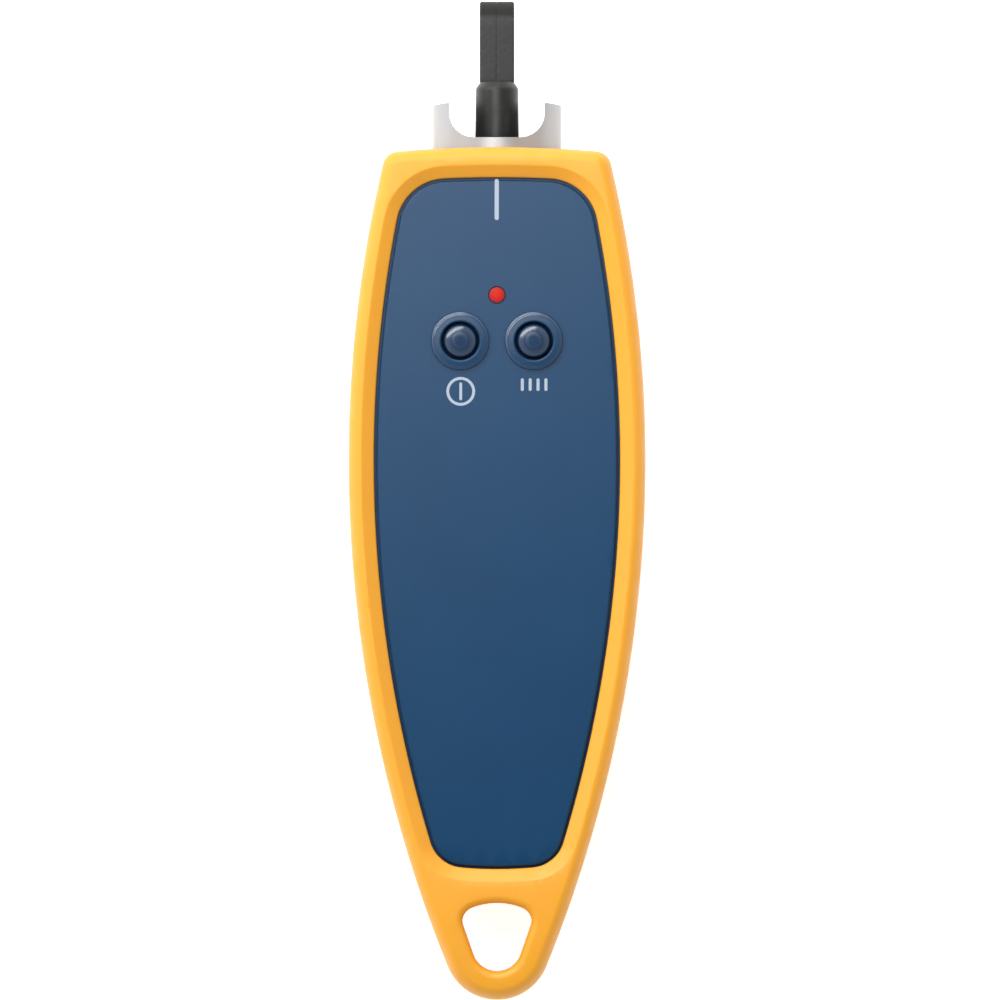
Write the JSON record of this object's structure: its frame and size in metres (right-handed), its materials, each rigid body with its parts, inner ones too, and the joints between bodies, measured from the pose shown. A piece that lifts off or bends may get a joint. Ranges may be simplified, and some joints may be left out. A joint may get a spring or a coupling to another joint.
{
  "type": "visual fault locator",
  "caption": "Hand-held red light source for tracing optical fibre: tapered case in a rubber boot, capped light port in a guard collar, keys, status lamp and lanyard eye.",
  "frame": {"origin": "on the rest plane of the boot's back, on the centre line, level with the boot's widest section", "axes": "+X to the right seen from the front, +Y along the body to the light port, +Z out of the front face"},
  "size_m": [0.0434, 0.1462, 0.028],
  "materials": {
    "boot_rubber": "satin",
    "cover_plastic": "fine texture",
    "key_rubber": "satin",
    "black_plastic": "matte",
    "lamp_chip": "matte",
    "lamp_lens": "polished",
    "board": "satin",
    "capacitor": "matte",
    "screw_steel": "plated",
    "cell_can": "printed sleeve",
    "contact_metal": "nickel plated",
    "collar_metal": "satin",
    "barrel_brass": "turned",
    "lens_glass": "polished",
    "ceramic": "polished",
    "adapter_metal": "nickel plated",
    "cap_rubber": "matte"
  },
  "bodies": {
    "case": {"rubber_boot": "boot_rubber", "front_cover": "cover_plastic", "rear_cover": "cover_plastic", "power_switch": "black_plastic", "flash_switch": "black_plastic", "status_led": "lamp_chip", "led_lens": "lamp_lens", "circuit_board": "board", "driver_chip": "black_plastic", "power_inductor": "black_plastic", "board_capacitors": "capacitor", "board_screws": "screw_steel", "cover_screws": "screw_steel", "battery_left": "cell_can", "battery_right": "cell_can", "positive_contact": "contact_metal", "negative_contact": "contact_metal", "link_plate": "contact_metal", "contact_springs": "contact_metal", "port_collar": "collar_metal", "laser_housing": "barrel_brass", "laser_diode": "barrel_brass", "diode_leads": "contact_metal", "collimating_lens": "lens_glass", "alignment_sleeve": "ceramic", "universal_adapter": "adapter_metal", "cap_strap": "cap_rubber", "strap_ring": "cap_rubber"},
    "power_key": {"power_button": "key_rubber", "power_plunger": "black_plastic"},
    "flash_key": {"flash_button": "key_rubber", "flash_plunger": "black_plastic"},
    "cap": {"dust_cap": "cap_rubber"},
    "door": {"battery_door": "cover_plastic"}
  },
  "joints": [
    {"name": "power_press", "type": "slide", "parent": "case", "child": "power_key", "axis": [0, 0, -1], "range_m": [0, 0.0005], "stiffness_N_per_m": 250, "springref_m": -0.0008},
    {"name": "flash_press", "type": "slide", "parent": "case", "child": "flash_key", "axis": [0, 0, -1], "range_m": [0, 0.0005], "stiffness_N_per_m": 250, "springref_m": -0.0008},
    {"name": "cap_pull", "type": "slide", "parent": "case", "child": "cap", "axis": [0, 1, 0], "range_m": [0, 0.016], "deforming": ["cap_strap"]},
    {"name": "door_open", "type": "hinge", "parent": "case", "child": "door", "pos_m": [0, 0.0289, 0.0017], "axis": [1, 0, 0], "range_deg": [0, 75]}
  ]
}
